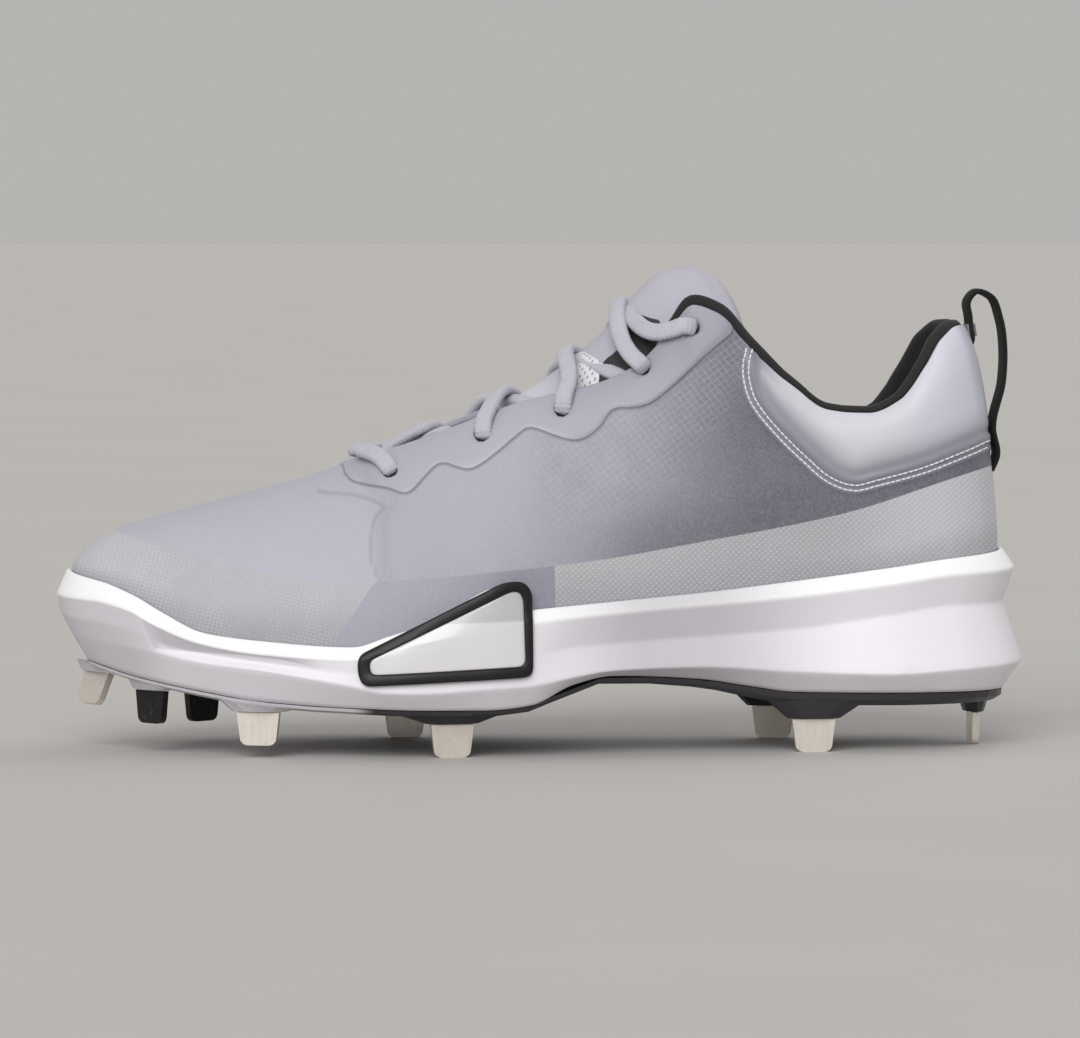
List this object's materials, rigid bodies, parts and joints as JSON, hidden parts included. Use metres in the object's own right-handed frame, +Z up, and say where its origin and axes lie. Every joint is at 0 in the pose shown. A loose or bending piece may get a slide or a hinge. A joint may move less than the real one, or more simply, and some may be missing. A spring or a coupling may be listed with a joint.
{
  "type": "baseball cleat",
  "caption": "Low grey baseball cleat with a faceted white foam midsole, steel blades under a black plate, laced tongue, padded collar and a heel pull loop; left shoe.",
  "frame": {"origin": "on the floor, under the middle of the bounding box", "axes": "+Z up; +X from the toe to the heel, so the toe points to -X; the outer (lateral) side of this left shoe faces -Y"},
  "size_m": [0.299, 0.1072, 0.1478],
  "materials": {
    "upper_fabric": "matte synthetic",
    "lining_fabric": "soft knit",
    "tongue_fabric": "padded synthetic",
    "insole_fabric": "matte",
    "foam": "satin foam",
    "window_border": "satin",
    "window_pane": "pearl",
    "plate_plastic": "satin",
    "blade_steel": "brushed",
    "lace_fabric": "woven",
    "webbing": "woven"
  },
  "bodies": {
    "root": {"upper": "upper_fabric", "collar_lining": "lining_fabric", "tongue": "tongue_fabric", "insole": "insole_fabric", "midsole": "foam", "window_frame": "window_border", "window_panel": "window_pane", "plate": "plate_plastic", "spike_toe": "blade_steel", "spike_front_lateral": "blade_steel", "spike_front_medial": "blade_steel", "spike_side_lateral": "blade_steel", "spike_ball_medial": "blade_steel", "spike_ball_lateral": "blade_steel", "spike_heel_medial": "blade_steel", "spike_heel_lateral": "blade_steel", "spike_heel_rear": "blade_steel", "lace_bar": "lace_fabric", "lace_cross_1": "lace_fabric", "lace_cross_2": "lace_fabric", "lace_cross_3": "lace_fabric", "lace_cross_4": "lace_fabric", "pull_loop": "webbing"}
  },
  "joints": []
}
